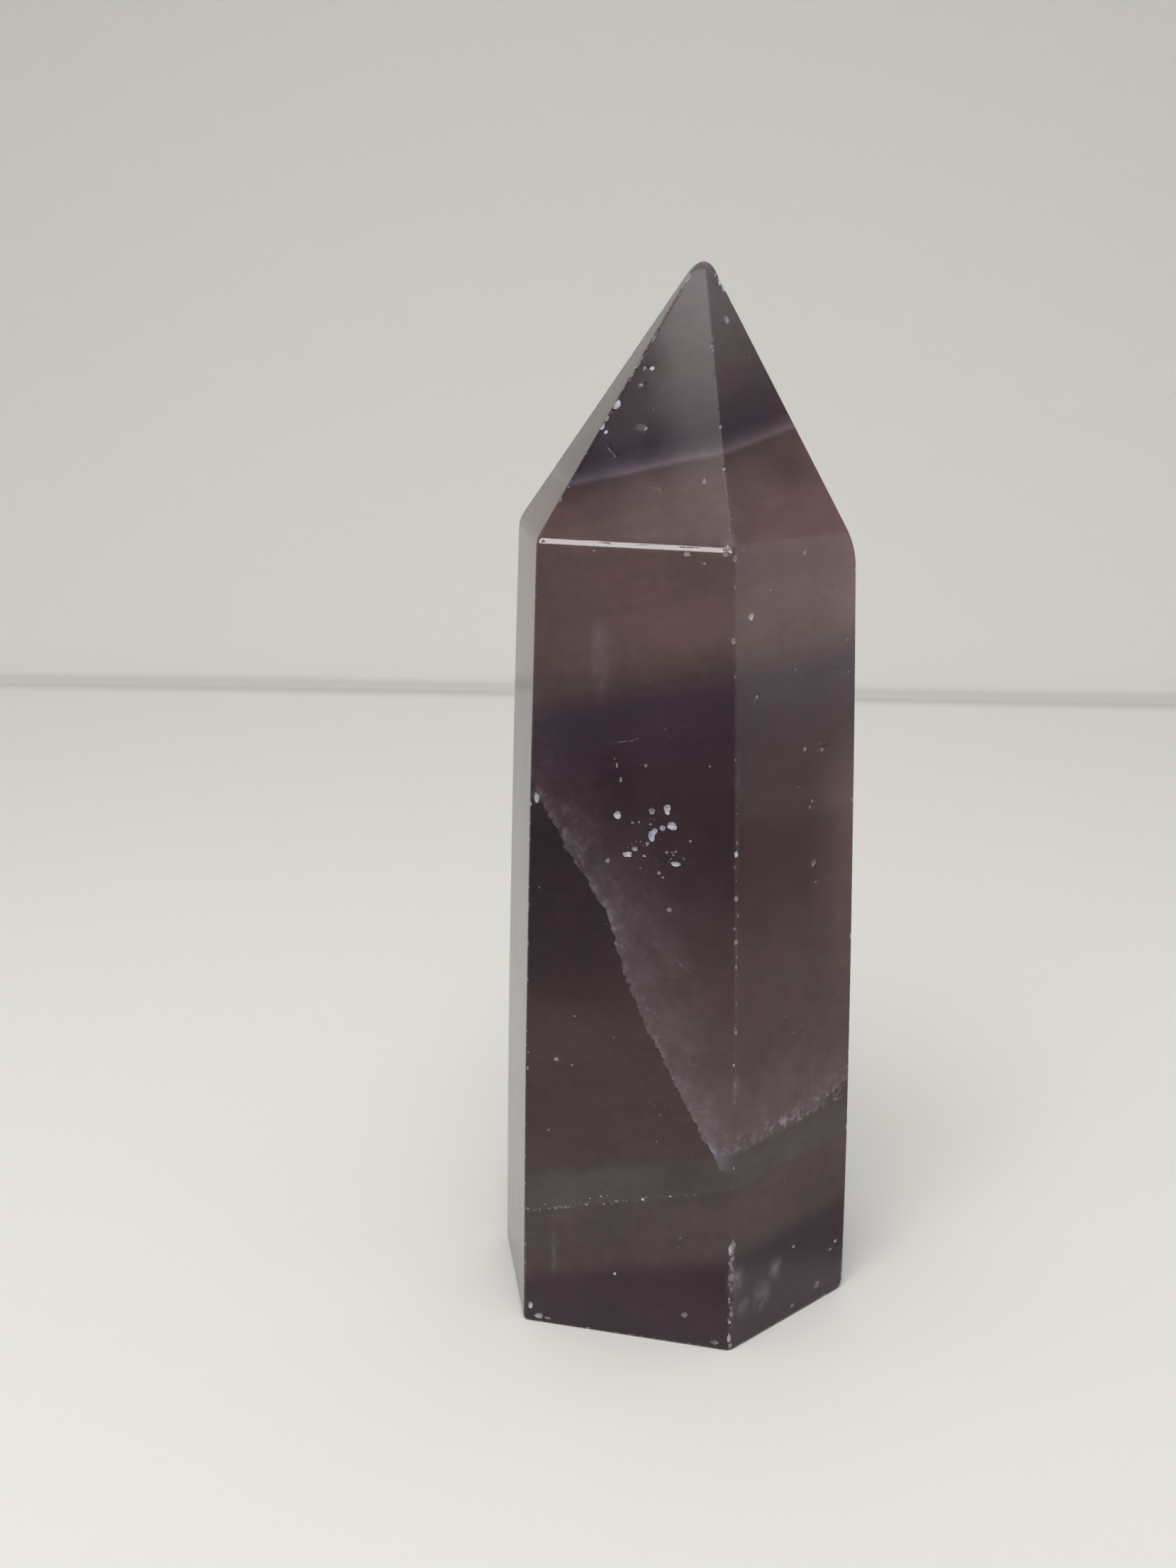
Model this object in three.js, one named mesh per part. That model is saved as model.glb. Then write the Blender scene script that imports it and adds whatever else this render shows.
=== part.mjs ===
// A fluorite tower: one piece of banded fluorite, cut and polished as a slightly
// tapered six-sided column with a six-faced point and a flat base to stand on.
// Units are millimetres and +Z is up. The origin is the middle of the base, and
// the widest face of the column looks along -Y. Azimuths are in degrees, from -Y
// towards +X.

import * as THREE from "three";

// Driving dimensions.
const TIP_HEIGHT = 80; // base to the top of the blunt tip
const APEX = new THREE.Vector3(1.0, -0.2, 80.9); // where the point's six faces would meet
const UPRIGHT_EDGE_RADIUS = 0.3; // polish rounding of the upright edges
const BASE_CORNER_RADIUS = 0.7; // the six corners of the base are worn rounder
const BASE_EDGE_ROUNDING = 0.3; // how far the base edge's rounding reaches up and in
const TIP_DOME_DEPTH = 0.9; // below the tip's top, where the point's ridges start to round over
const TIP_LIP_REACH = 0.62; // how far from the tip's middle that rounding turns level
const TIP_EDGE_RADIUS = 0.1; // rounding that the ridges keep at the tip

// The column's faces, anticlockwise seen from above. Each has the azimuth of its
// normal, its distance from the axis at the base, its inward lean in millimetres
// for each millimetre of height, and its belly, the outward bow at half height.
const FACES = {
  front: { azimuth: 0, distance: 12.5, lean: 0.02, belly: 0.05 },
  frontRight: { azimuth: 56.8, distance: 12.8, lean: 0.031, belly: 0.3 },
  backRight: { azimuth: 116.3, distance: 12.3, lean: 0.02, belly: 0.11 },
  back: { azimuth: 176.9, distance: 12.2, lean: 0.025, belly: 0.15 },
  backLeft: { azimuth: 236.9, distance: 11.7, lean: 0.029, belly: 0.13 },
  frontLeft: { azimuth: 293.1, distance: 13.5, lean: 0.025, belly: 0.18 },
};

// The column's upright edges, each between two faces, with the height at which
// the point begins there and how far the shoulder's rounding reaches from it.
const EDGES = [
  { between: ["frontLeft", "front"], shoulder: 61.7, rounding: 0.55 },
  { between: ["front", "frontRight"], shoulder: 61.6, rounding: 0.5 },
  { between: ["frontRight", "backRight"], shoulder: 60.4, rounding: 1.4 },
  { between: ["backRight", "back"], shoulder: 60.6, rounding: 0.9 },
  { between: ["back", "backLeft"], shoulder: 61.0, rounding: 0.7 },
  { between: ["backLeft", "frontLeft"], shoulder: 61.4, rounding: 0.6 },
];

const BELLY_HEIGHT = 61; // a face's belly runs out to nothing at the base and at this height
const WORN_SHARE = 0.25; // share of the column over which the base's rounder corners fade out
const HALF_TURN_AT_CORNER = THREE.MathUtils.degToRad(30);
const MOST_OF_SIDE_CUT = 0.45; // two corners' curves never meet on a side

// Steps of each stretch of the surface.
const CORNER_STEPS = 5;
const BASE_EDGE_STEPS = 4;
const COLUMN_STEPS = 12;
const SHOULDER_STEPS = 6;
const POINT_STEPS = 6;
const DOME_STEPS = 6;

// How far a face's plane lies from the axis at a height.
function faceDistance(face, height) {
  const share = height / BELLY_HEIGHT;
  return face.distance - face.lean * height + face.belly * 4 * share * (1 - share);
}

// The point of an upright edge at a height, where its two faces meet.
function edgePoint(edge, height) {
  const [a, b] = edge.between.map((name) => FACES[name]);
  const [ta, tb] = [a, b].map((face) => THREE.MathUtils.degToRad(face.azimuth));
  const [da, db] = [a, b].map((face) => faceDistance(face, height));
  const cross = Math.sin(tb - ta);
  const x = (db * Math.cos(ta) - da * Math.cos(tb)) / cross;
  const y = (db * Math.sin(ta) - da * Math.sin(tb)) / cross;
  return new THREE.Vector3(x, y, height);
}

// A point of the curve that leaves start for corner and ends at end.
function rounded(start, corner, end, share) {
  return new THREE.QuadraticBezierCurve3(start, corner, end).getPoint(share);
}

// The six corners of each section, from the seat to the tip's dome, with the
// radius that the section's corners are rounded to.
function sections() {
  const found = [];
  const add = (corners, radius) => found.push({ corners, radius });

  const middle = new THREE.Vector3(0, 0, 0);
  for (let i = 0; i <= BASE_EDGE_STEPS; i++) {
    const corners = EDGES.map((edge) => {
      const foot = edgePoint(edge, 0);
      const seat = foot.clone().lerp(middle, BASE_EDGE_ROUNDING / foot.length());
      return rounded(seat, foot, edgePoint(edge, BASE_EDGE_ROUNDING), i / BASE_EDGE_STEPS);
    });
    add(corners, BASE_CORNER_RADIUS);
  }

  for (let i = 1; i <= COLUMN_STEPS; i++) {
    const share = i / COLUMN_STEPS;
    const corners = EDGES.map((edge) => {
      const top = edge.shoulder - edge.rounding;
      return edgePoint(edge, THREE.MathUtils.lerp(BASE_EDGE_ROUNDING, top, share));
    });
    const wear = Math.max(0, 1 - share / WORN_SHARE);
    add(corners, THREE.MathUtils.lerp(UPRIGHT_EDGE_RADIUS, BASE_CORNER_RADIUS, wear));
  }

  const domeStart = TIP_HEIGHT - TIP_DOME_DEPTH;
  const ridgePoint = (edge, height) => {
    const shoulder = edgePoint(edge, edge.shoulder);
    return shoulder.clone().lerp(APEX, (height - edge.shoulder) / (APEX.z - edge.shoulder));
  };
  for (let i = 1; i <= SHOULDER_STEPS; i++) {
    const corners = EDGES.map((edge) => {
      const below = edgePoint(edge, edge.shoulder - edge.rounding);
      const above = ridgePoint(edge, edge.shoulder + edge.rounding);
      return rounded(below, edgePoint(edge, edge.shoulder), above, i / SHOULDER_STEPS);
    });
    add(corners, UPRIGHT_EDGE_RADIUS);
  }

  for (let i = 1; i <= POINT_STEPS; i++) {
    const share = i / POINT_STEPS;
    const corners = EDGES.map((edge) => {
      const start = edge.shoulder + edge.rounding;
      return ridgePoint(edge, THREE.MathUtils.lerp(start, domeStart, share));
    });
    add(corners, UPRIGHT_EDGE_RADIUS);
  }

  const top = new THREE.Vector3(APEX.x, APEX.y, TIP_HEIGHT);
  for (let i = 1; i < DOME_STEPS; i++) {
    const corners = EDGES.map((edge) => {
      const start = ridgePoint(edge, domeStart);
      const outward = start.clone().sub(top).setZ(0).normalize();
      const lip = top.clone().addScaledVector(outward, TIP_LIP_REACH);
      return rounded(start, lip, top, i / DOME_STEPS);
    });
    add(corners, THREE.MathUtils.lerp(UPRIGHT_EDGE_RADIUS, TIP_EDGE_RADIUS, i / DOME_STEPS));
  }
  return { found, top };
}

// The outline of a section: its six corners, each replaced by a curve that
// leaves one side and joins the next.
function outline({ corners, radius }) {
  const points = [];
  corners.forEach((corner, i) => {
    const before = corners[(i + corners.length - 1) % corners.length];
    const after = corners[(i + 1) % corners.length];
    const reach = (side) => {
      const cut = radius * Math.tan(HALF_TURN_AT_CORNER);
      return Math.min(cut / corner.distanceTo(side), MOST_OF_SIDE_CUT);
    };
    const start = corner.clone().lerp(before, reach(before));
    const end = corner.clone().lerp(after, reach(after));
    for (let k = 0; k <= CORNER_STEPS; k++) {
      points.push(rounded(start, corner, end, k / CORNER_STEPS));
    }
  });
  return points;
}

// One closed surface through the outlines, with a flat seat and a closed tip.
function towerGeometry() {
  const { found, top } = sections();
  const rings = found.map(outline);
  const around = rings[0].length;
  const seatMiddle = new THREE.Vector3(0, 0, 0);
  const points = [seatMiddle, ...rings.flat(), top];
  const at = (ring, k) => 1 + ring * around + (k % around);
  const faces = [];
  for (let k = 0; k < around; k++) {
    faces.push(0, at(0, k + 1), at(0, k));
    for (let ring = 0; ring + 1 < rings.length; ring++) {
      const [a, b] = [at(ring, k), at(ring, k + 1)];
      const [c, d] = [at(ring + 1, k + 1), at(ring + 1, k)];
      faces.push(a, b, c, a, c, d);
    }
    faces.push(at(rings.length - 1, k), at(rings.length - 1, k + 1), points.length - 1);
  }
  return new THREE.BufferGeometry().setFromPoints(points).setIndex(faces);
}

function polishedFluorite() {
  return new THREE.MeshStandardMaterial({ color: 0x54464a, roughness: 0.12, metalness: 0 });
}

// The tower's box is centred on the Z axis, so the origin is under its middle.
function fluoriteTower() {
  const geometry = towerGeometry();
  geometry.computeBoundingBox();
  const middle = geometry.boundingBox.getCenter(new THREE.Vector3());
  geometry.translate(-middle.x, -middle.y, 0);
  geometry.computeVertexNormals();
  const tower = new THREE.Mesh(geometry, polishedFluorite());
  tower.name = "fluorite_tower";
  return tower;
}

const model = new THREE.Group();
model.add(fluoriteTower());

export default model;
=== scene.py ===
"""A fluorite tower: a polished, banded point of dark purple and brown fluorite.

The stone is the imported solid's surface sampled finely, then chipped and pitted as
the real one is. Its colour bands are planes through the stone, so they run on
round every face, and a healed crack is a sheet sealed inside it. Lengths are in
millimetres in the settings and are turned into metres where they are used.
"""

import math
import random

import bmesh
import bpy
import numpy as np
from mathutils import Matrix, Vector, noise
from mathutils.bvhtree import BVHTree


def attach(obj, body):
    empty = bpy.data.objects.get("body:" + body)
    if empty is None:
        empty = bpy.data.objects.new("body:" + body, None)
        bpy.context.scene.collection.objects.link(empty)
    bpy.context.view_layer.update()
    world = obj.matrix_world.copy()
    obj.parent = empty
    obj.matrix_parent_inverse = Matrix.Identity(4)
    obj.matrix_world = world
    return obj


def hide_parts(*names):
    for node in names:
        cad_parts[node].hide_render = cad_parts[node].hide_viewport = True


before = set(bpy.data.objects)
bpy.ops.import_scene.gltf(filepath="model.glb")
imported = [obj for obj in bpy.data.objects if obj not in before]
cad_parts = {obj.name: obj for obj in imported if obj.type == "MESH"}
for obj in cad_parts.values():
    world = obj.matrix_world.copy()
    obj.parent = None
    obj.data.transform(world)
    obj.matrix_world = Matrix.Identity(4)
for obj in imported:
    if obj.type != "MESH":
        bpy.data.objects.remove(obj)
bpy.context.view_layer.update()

NODE = "fluorite_tower"
MM = 0.001

# The camera, where the photograph was taken from. Its turns are in degrees, its
# focal length is in the photo's pixels, and the sensor's long side in millimetres.
CAMERA_PLACE = (26.7, -130.5, 83.0)
CAMERA_YAW = 14.66
CAMERA_PITCH = 17.44
CAMERA_ROLL = 0.08
FOCAL_PX = 2550
PHOTO_HEIGHT_PX = 2212
SENSOR = 36
CLIP_START = 1

# The studio: a pale floor that turns up into the walls of a light tent.
TENT_REACH = 186
TENT_HEIGHT = 230
TENT_FOOT_RADIUS = 1.2
TENT_SQUARENESS = 9
TENT_TURN = 10.8
TENT_SIDES = 240
FOOT_STEPS = 8
# The fold between floor and wall lies in shade, over this much floor and wall.
FOLD_SHADE = 0.76
FOLD_ON_FLOOR = 7
FOLD_ON_WALL = 2.8
# Painted shade: the wall gets darker up to this height.
WALL_SHADE_HEIGHT = 119

# The colour bands are planes through the stone, all with this normal, and the
# levels below are distances along it from the middle of the base.
BAND_NORMAL = Vector((-0.238, 0.114, 0.965)).normalized()
BAND_RANGE = 80
# Above the shoulder the planes tilt over, between these heights, to this normal.
TOP_BAND_NORMAL = Vector((-0.208, -0.040, 0.9775)).normalized()
TOP_BAND_SHIFT = -2.11
TOP_BAND_HEIGHTS = (56, 63)

# The healed crack is a plane too: its normal and its distance from the origin.
CRACK_NORMAL = Vector((0.685, -0.634, 0.359)).normalized()
CRACK_DISTANCE = 17.5
# How far its edge wanders at the surface, the teeth on it, and their sizes.
EDGE_WANDER = 0.7
EDGE_WANDER_SIZE = 1.3
EDGE_TEETH = 0.4
EDGE_TEETH_SIZE = 0.4
# How far the crack bows out of its plane, by height.
CRACK_BOW = ((14, 0.0), (18, -0.3), (27, -0.4), (31.5, 0.0), (35, 0.5), (38.5, 0.1), (43, -0.1))

# Directions in which the six upright edges stand, in degrees from -Y towards +X,
# starting with the nearest edge and going anticlockwise.
EDGE_AZIMUTHS = (28.4, 86.5, 146.6, 206.9, 265.0, 326.5)


def metres(*lengths):
    return Vector(lengths) * MM


def add_object(name, data):
    made = bpy.data.objects.new(name, data)
    bpy.context.scene.collection.objects.link(made)
    return made


def mesh_of(name, built):
    """The mesh of what was built with bmesh, which is freed."""
    mesh = bpy.data.meshes.new(name)
    built.to_mesh(mesh)
    built.free()
    return mesh


# ---------------------------------------------------------------- node shaders


class Shader:
    """A node material under construction. add() makes a node and returns it."""

    def __init__(self, name):
        self.material = bpy.data.materials.new(name)
        self.material.use_nodes = True
        self.nodes = self.material.node_tree.nodes
        self.links = self.material.node_tree.links
        self.nodes.clear()
        self.output = self.nodes.new("ShaderNodeOutputMaterial")

    def add(self, kind, inputs=(), **settings):
        made = self.nodes.new("ShaderNode" + kind)
        for name, value in settings.items():
            setattr(made, name, value)
        for socket, value in dict(inputs).items():
            if isinstance(value, bpy.types.NodeSocket):
                self.links.new(value, made.inputs[socket])
            else:
                made.inputs[socket].default_value = value
        return made

    def math(self, operation, *values, clamp=False):
        inputs = dict(enumerate(values))
        return self.add("Math", inputs, operation=operation, use_clamp=clamp).outputs[0]

    def place(self):
        """The surface point in millimetres, in the row frame."""
        coordinates = self.add("TexCoord").outputs["Object"]
        scaled = self.add(
            "VectorMath", {0: coordinates, 1: (1 / MM,) * 3}, operation="MULTIPLY"
        )
        return scaled.outputs[0]

    def along(self, place, normal):
        """How far place lies along a direction."""
        found = self.add("VectorMath", {0: place, 1: normal}, operation="DOT_PRODUCT")
        return found.outputs["Value"]

    def noise(self, place, size, detail=2.0, roughness=0.5, stretch=(1, 1, 1)):
        """Noise whose blotches are about size millimetres across, from 0 to 1."""
        if stretch != (1, 1, 1):
            mapping = self.add("VectorMath", {0: place, 1: stretch}, operation="MULTIPLY")
            place = mapping.outputs[0]
        inputs = {"Vector": place, "Scale": 1 / size, "Detail": detail, "Roughness": roughness}
        return self.add("TexNoise", inputs).outputs["Fac"]

    def spread(self, value, low, high, to_low=0.0, to_high=1.0, smooth=True):
        """value carried from low..high to to_low..to_high, and held there outside."""
        kind = "SMOOTHSTEP" if smooth else "LINEAR"
        inputs = {0: value, 1: low, 2: high, 3: to_low, 4: to_high}
        return self.add("MapRange", inputs, interpolation_type=kind).outputs[0]

    def mix(self, share, first, second, blend="MIX"):
        mixed = self.add("Mix", data_type="RGBA", blend_type=blend)
        for socket, value in ((0, share), (6, first), (7, second)):
            if isinstance(value, bpy.types.NodeSocket):
                self.links.new(value, mixed.inputs[socket])
            else:
                mixed.inputs[socket].default_value = value
        return mixed.outputs[2]

    def lines(self, value, size):
        """Noise along one value only, so it shows as layers about size apart."""
        inputs = {"W": value, "Scale": 1 / size, "Detail": 3.0, "Roughness": 0.6}
        return self.add("TexNoise", inputs, noise_dimensions="1D").outputs["Fac"]

    def product(self, *factors):
        total = factors[0]
        for factor in factors[1:]:
            total = self.math("MULTIPLY", total, factor)
        return total

    def spot(self, place, middle, size):
        """1 at a place in the stone, fading to 0 at size away from it, in mm."""
        away = self.add("VectorMath", {0: place, 1: middle}, operation="SUBTRACT").outputs[0]
        scaled = self.add("VectorMath", {0: away, 1: size}, operation="DIVIDE").outputs[0]
        length = self.add("VectorMath", {0: scaled}, operation="LENGTH").outputs["Value"]
        return self.spread(length, 0.0, 1.0, 1.0, 0.0)

    def by_height(self, height, table, shift=0.0):
        """A value given by a table of (height, value). shift keeps the ramp's own
        values above 0 where the table's are not."""
        stops = [(at / BAND_RANGE, (value + shift,) * 3) for at, value in table]
        found = self.ramp(self.math("DIVIDE", height, BAND_RANGE), stops)
        return self.math("SUBTRACT", found, shift)

    def ramp(self, value, stops):
        """A colour ramp through (place, (r, g, b)) stops, with value from 0 to 1."""
        made = self.add("ValToRGB", {0: value})
        elements = made.color_ramp.elements
        while len(elements) < len(stops):
            elements.new(0.5)
        for element, (place, colour) in zip(elements, stops):
            element.position = place
            element.color = (*colour, 1)
        return made.outputs[0]

    def finished(self, surface, volume=None):
        """The material, once these nodes are its surface and its inside."""
        self.links.new(surface.outputs[0], self.output.inputs["Surface"])
        if volume:
            self.links.new(volume.outputs[0], self.output.inputs["Volume"])
        return self.material


# ------------------------------------------------------------------- materials

FLUORITE_IOR = 1.434
# Most of the light that enters the stone is scattered close under the polish. The
# radii times the scale say how far, for each colour.
SCATTERED_SHARE = 0.75
SCATTER_RADII = (1.0, 0.7, 0.75)
SCATTER_SCALE = 0.3
# The rest goes through and is absorbed on its way. The density is per metre.
CLEAR_SHARE = 0.25
DEPTH_COLOUR = (0.50, 0.32, 0.38, 1)
DEPTH_DENSITY = 260
# The polish's roughness, from its best to its dullest places.
POLISH_ROUGHNESS = (0.05, 0.14)
# How far the bands wander up and down, and over what distance.
BAND_DRIFT = 0.7
BAND_DRIFT_SIZE = 9.0
# Colour of the stone by level, in linear values.
BANDS = (
    (0.0, (0.056, 0.029, 0.043)),
    (3.8, (0.068, 0.039, 0.051)),
    (5.2, (0.108, 0.076, 0.082)),
    (9.9, (0.120, 0.088, 0.091)),
    (10.3, (0.133, 0.107, 0.104)),
    (12.4, (0.127, 0.106, 0.101)),
    (13.4, (0.106, 0.075, 0.076)),
    (18.0, (0.088, 0.057, 0.060)),
    (24.0, (0.094, 0.061, 0.064)),
    (29.0, (0.066, 0.043, 0.050)),
    (33.0, (0.052, 0.032, 0.041)),
    (39.5, (0.041, 0.023, 0.031)),
    (44.5, (0.057, 0.033, 0.050)),
    (47.6, (0.068, 0.044, 0.063)),
    (49.8, (0.130, 0.085, 0.086)),
    (52.2, (0.168, 0.108, 0.104)),
    (56.0, (0.146, 0.090, 0.092)),
    (60.6, (0.135, 0.081, 0.081)),
    (61.9, (0.120, 0.066, 0.068)),
    (63.16, (0.074, 0.037, 0.043)),
    (63.30, (0.172, 0.128, 0.152)),
    (63.58, (0.112, 0.076, 0.098)),
    (63.95, (0.056, 0.032, 0.048)),
    (64.7, (0.028, 0.008, 0.023)),
    (66.2, (0.043, 0.020, 0.032)),
    (69.2, (0.092, 0.062, 0.070)),
    (75.0, (0.140, 0.112, 0.122)),
)
# Over the healed crack the stone looks milky, reddish far from it and bluish close.
WARM_MILK = (0.36, 0.22, 0.23, 1)
COOL_MILK = (0.385, 0.335, 0.398, 1)
BLUE_MILK = (0.25, 0.26, 0.31, 1)
WARM_DEPTH = 14
WARM_BY_LEVEL = ((20, 0.185), (26, 0.18), (31, 0.13), (36, 0.07), (41, 0.08), (46, 0.0))
COOL_DEPTH = 2.0
COOL_BY_LEVEL = ((13, 0.22), (22, 0.22), (30, 0.31), (36, 0.24), (42, 0.08))
CRUMB_DEPTH = 1.4
RIM_DEPTH = 0.16
# Painted shade: towards the back the milk is thinner, which darkens the right-hand faces.
# Between these x it falls to this share.
MILK_SIDE_SHADE = (4.0, 12.5, 1.0, 0.70)
# Between these levels, over the green band, the milk sets in.
MILK_START = (12.7, 13.3)
# Strength of the crumbs near the crack and close at its edge, and the levels
# between which they thin out, to this share.
CRUMB_STRENGTH = 0.28
RIM_STRENGTH = 0.42
CRUMB_THINNING = (38.0, 45.0, 1.0, 0.45)
# Just over the green band the milk is thicker: from level to level, and from
# share to share.
LOW_CLOUD = (15.5, 21.5, 0.10, 0.0)
# Crumbs along the green band's upper rim, behind the crack and from x to x on its
# right. They set in between two levels and thin out between two more.
BAND_CRUMBS_SIDE = (7.0, 8.5)
BAND_CRUMBS_START = (12.8, 13.3)
BAND_CRUMBS_END = (13.4, 14.8, 0.75, 0.0)
# Where the crack's own surface shows bluish through the green band: middle, half
# sizes and strength.
BLUE_PATCH = ((5.9, -12.2, 16.0), (1.4, 2.0, 1.4))
BLUE_STRENGTH = 0.85
# Milky smears: middle, half sizes and strength.
SMUDGES = (
    ((7.4, -11.9, 5.8), (1.0, 1.5, 1.9), 0.60),
    ((9.0, -9.6, 3.4), (1.1, 1.6, 1.9), 0.44),
    ((9.8, -8.3, 5.2), (0.9, 1.3, 1.6), 0.46),
    ((7.9, -11.3, 3.2), (0.9, 1.2, 1.3), 0.42),
    ((-3.6, -11.5, 54.0), (1.0, 1.0, 4.2), 0.24),
    ((5.2, -11.0, 62.2), (0.8, 1.2, 1.2), 0.34),
    ((-6.9, -12.4, 6.2), (0.4, 1.0, 2.6), 0.18),
    ((6.35, -11.45, 45.4), (0.42, 0.5, 4.4), 0.08),
    ((6.45, -11.6, 40.2), (0.45, 0.5, 3.0), 0.08),
    ((6.95, -12.0, 22.3), (0.40, 0.6, 1.6), 0.25),
    ((7.1, -12.2, 5.0), (0.45, 0.6, 5.5), 0.30),
    ((-8.2, -11.6, 43.3), (0.5, 1.0, 0.9), 0.5),
)
# The crumbling seam under the green band: its level, how its line fades with the
# distance from that, and where it shows.
SEAM_LEVEL = 10.15
SEAM_FADE = (0.05, 0.15, 0.60, 0.0)
SEAM_LINE = ((-6, -12.4, 9), (9, 2, 4))
# Where the back light comes through the thin right-hand corner.
CORNER_GLOW = ((14, -1, 46), (5, 7.5, 26))
CORNER_GLOW_COLOUR = (0.110, 0.076, 0.066, 1)
# The glow by level: it falls towards the purple band and comes back above it.
GLOW_BELOW_PURPLE = (37.0, 44.0, 1.0, 0.15)
GLOW_ABOVE_PURPLE = (48.0, 51.0, 0.0, 0.85)
# Painted light: the stone to the right of the nearest edge is painted warmer and lighter,
# standing in for the stronger light on the right-hand faces: from x to x, and how much.
SIDE_LIGHT_SPAN = (6.0, 7.4)
PAINTED_SIDE_LIGHT = (0.022, 0.007, 0.005, 1)
SIDE_LIGHT_BY_LEVEL = (
    (4.0, 0.0),
    (8.0, 0.6),
    (9.5, 0.6),
    (10.5, 0.0),
    (13.0, 0.0),
    (14.5, 0.4),
    (24, 0.6),
    (31, 1.1),
    (39, 1.0),
    (45, 0.5),
    (50, 1.0),
)
# Darker clouds in the stone: middle, half sizes and colour.
DARK_CLOUDS = (
    ((-2.4, -11.6, 44), (2.8, 4, 4.6), (0.62, 0.58, 0.62, 1)),
    ((-8.5, -11.0, 53), (8, 6, 10), (0.78, 0.80, 0.82, 1)),
    ((-5.2, -8.2, 67), (5, 6, 6.5), (0.70, 0.72, 0.76, 1)),
    ((8.2, -3.0, 66.3), (4.4, 5, 3.0), (0.48, 0.48, 0.52, 1)),
    ((-3.4, -5.6, 72.5), (3.6, 4, 6.5), (0.54, 0.50, 0.54, 1)),
    ((3.5, -12.3, 14.0), (5.5, 3, 3), (0.74, 0.72, 0.72, 1)),
)


def band_level(shader, place):
    """How high a place lies in the layers of the stone."""
    lower = shader.along(place, BAND_NORMAL)
    upper = shader.math("ADD", shader.along(place, TOP_BAND_NORMAL), TOP_BAND_SHIFT)
    top_share = shader.spread(shader.along(place, (0, 0, 1)), *TOP_BAND_HEIGHTS)
    difference = shader.math("SUBTRACT", upper, lower)
    return shader.math("MULTIPLY_ADD", difference, top_share, lower)


def crack_offset(shader, place):
    """Distance from the healed crack, positive on its milky side."""
    bow = shader.by_height(shader.along(place, (0, 0, 1)), CRACK_BOW, shift=0.5)
    ragged = shader.noise(place, EDGE_WANDER_SIZE, detail=3.0, roughness=0.6)
    wander = shader.math(
        "MULTIPLY_ADD", ragged, EDGE_WANDER, -EDGE_WANDER / 2 - CRACK_DISTANCE
    )
    teeth = shader.noise(place, EDGE_TEETH_SIZE, detail=1.0)
    teeth = shader.math("MULTIPLY_ADD", teeth, EDGE_TEETH, -EDGE_TEETH / 2)
    plain = shader.math("SUBTRACT", shader.along(place, CRACK_NORMAL), bow)
    return shader.math("ADD", shader.math("ADD", plain, wander), teeth)


def milky(shader, place, level, bands):
    """The bands as they look through the milk over the crack and the green band."""
    offset = crack_offset(shader, place)
    behind = shader.spread(offset, -0.05, 0.05)
    # Painted shade: less milk towards +x darkens the right-hand faces.
    side_shade = shader.spread(shader.along(place, (1, 0, 0)), *MILK_SIDE_SHADE)
    side = shader.product(behind, side_shade, shader.spread(level, *MILK_START))
    warm, cool, crumb, rim = [
        shader.product(side, shader.math("EXPONENT", shader.math("DIVIDE", offset, -depth)))
        for depth in (WARM_DEPTH, COOL_DEPTH, CRUMB_DEPTH, RIM_DEPTH)
    ]
    blotches = shader.spread(shader.noise(place, 2.2, detail=3.0), 0.35, 0.68, 0.6, 1.0)
    clumps = shader.spread(shader.noise(place, 1.5), 0.40, 0.60, 0.35, 1.0)
    crumbs = shader.noise(place, 0.6, detail=3.0, roughness=0.65)
    crumbs = shader.product(shader.spread(crumbs, 0.46, 0.64), clumps)
    warm = shader.product(warm, blotches, shader.by_height(level, WARM_BY_LEVEL))
    cool = shader.product(cool, blotches, shader.by_height(level, COOL_BY_LEVEL))
    thick = shader.spread(level, *CRUMB_THINNING)
    crumb = shader.product(crumb, crumbs, thick, CRUMB_STRENGTH)
    rim = shader.product(rim, crumbs, thick, RIM_STRENGTH)
    low_cloud = shader.product(side, blotches, shader.spread(level, *LOW_CLOUD))
    over_band = shader.spread(shader.along(place, (1, 0, 0)), *BAND_CRUMBS_SIDE)
    over_band = shader.math("MAXIMUM", over_band, behind)
    band_crumbs = shader.product(
        over_band,
        crumbs,
        shader.spread(level, *BAND_CRUMBS_START),
        shader.spread(level, *BAND_CRUMBS_END),
    )
    patch = shader.product(behind, blotches, shader.spot(place, *BLUE_PATCH), BLUE_STRENGTH)
    from_seam = shader.math("ABSOLUTE", shader.math("SUBTRACT", level, SEAM_LEVEL))
    seam_line = shader.product(
        shader.spread(from_seam, *SEAM_FADE), crumbs, shader.spot(place, *SEAM_LINE)
    )
    total = 0.0
    smears = smudges(shader, place)
    shares = (cool, crumb, rim, low_cloud, band_crumbs, seam_line, smears)
    for share in shares:
        total = shader.math("ADD", share, total, clamp=True)
    milk = shader.mix(total, shader.mix(warm, bands, WARM_MILK), COOL_MILK)
    return shader.mix(patch, milk, BLUE_MILK)


def smudges(shader, place):
    """Faint milky smears just under the polish."""
    wisps = shader.noise(place, 0.9, detail=4.0, stretch=(1, 1, 0.8))
    wisps = shader.spread(wisps, 0.33, 0.65, 0.25, 1.0)
    total = 0.0
    for middle, size, strength in SMUDGES:
        spot = shader.product(shader.spot(place, middle, size), strength)
        total = shader.math("ADD", spot, total)
    return shader.product(total, wisps)


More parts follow.
